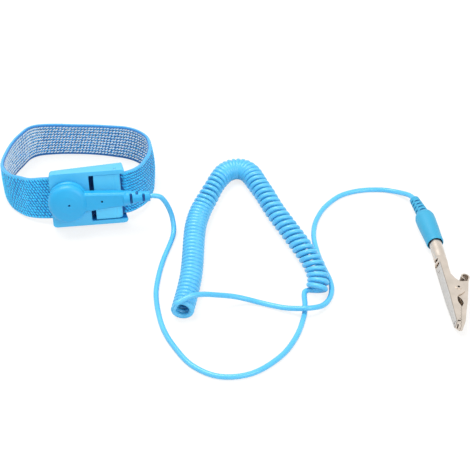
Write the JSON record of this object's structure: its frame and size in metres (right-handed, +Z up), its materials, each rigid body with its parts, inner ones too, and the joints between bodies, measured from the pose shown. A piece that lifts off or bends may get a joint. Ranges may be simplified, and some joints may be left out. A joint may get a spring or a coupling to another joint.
{
  "type": "anti-static wrist strap",
  "caption": "Elastic wristband with a cam clasp, press-stud connector, curly earthing cord, banana plug and crocodile clip.",
  "frame": {"origin": "on the surface that the strap lies on, under the middle of the wristband with its clasp and connector", "axes": "+X along the clasp from the snap to the lever, the way the cord leaves; +Z up; the clasp faces -Y"},
  "size_m": [0.2175, 0.159, 0.0284],
  "materials": {
    "blue_plastic": "smooth satin moulding, sky blue",
    "blue_boot": "soft satin moulding, sky blue",
    "blue_cord": "smooth polyurethane jacket, light sky blue",
    "elastic": "knitted elastic, blue outside, blue with silver conductive yarn inside",
    "nickel": "satin nickel plate",
    "steel": "bright steel",
    "brass": "plain brass",
    "copper": "tinned copper strands",
    "resistor": "lacquered body"
  },
  "bodies": {
    "root": {"connector_cover": "blue_plastic", "connector_base": "blue_plastic", "solder_tag": "brass", "resistor_body": "resistor", "resistor_leads": "steel", "lead_sheath_end": "blue_cord", "lead_wire_end": "copper", "snap_socket": "nickel", "cord_lead": "blue_cord", "curly_cord": "blue_cord", "cord_tail": "blue_cord", "plug_boot": "blue_boot", "plug_pin": "nickel", "plug_wire_end": "blue_cord"},
    "snap_ring": {"socket_spring": "steel"},
    "wristband": {"clasp_base": "blue_plastic", "lever_pin": "steel", "snap_stud": "nickel", "contact_plate": "steel", "elastic_band": "elastic"},
    "lever": {"cam_lever": "blue_plastic"},
    "sleeve": {"lantern_spring": "brass"},
    "clip": {"clip_body": "nickel", "clip_rivet": "nickel", "clip_spring": "steel"},
    "jaw": {"clip_jaw": "nickel"}
  },
  "joints": [
    {"name": "connector_swivel", "type": "hinge", "parent": "root", "child": "snap_ring", "pos_m": [-0.00184, -0.02447, 0.01601], "axis": [0.0915, -0.9504, 0.2974], "continuous": true},
    {"name": "unsnap", "type": "slide", "parent": "snap_ring", "child": "wristband", "axis": [-0.0915, 0.9504, -0.2974], "range_m": [0, 0.03]},
    {"name": "lever_lift", "type": "hinge", "parent": "wristband", "child": "lever", "pos_m": [0.02021, -0.01964, 0.0149], "axis": [-0.0459, 0.2943, 0.9546], "range_deg": [0, 75]},
    {"name": "clip_spin", "type": "hinge", "parent": "root", "child": "sleeve", "pos_m": [0.16774, -0.0426, 0.0046], "axis": [0.0785, -0.9969, 0], "continuous": true},
    {"name": "clip_pull", "type": "slide", "parent": "sleeve", "child": "clip", "axis": [0.0785, -0.9969, 0], "range_m": [0, 0.016]},
    {"name": "jaw_open", "type": "hinge", "parent": "clip", "child": "jaw", "pos_m": [0.17331, -0.07547, 0.00418], "axis": [0.1387, 0.0109, 0.9903], "range_deg": [0, 22], "stiffness_Nm_per_rad": 0.02, "springref_deg": -20.05}
  ],
  "couplings": [
    {"joint": "lever_lift", "follows": "unsnap", "rad_per_m": 43.6}
  ]
}
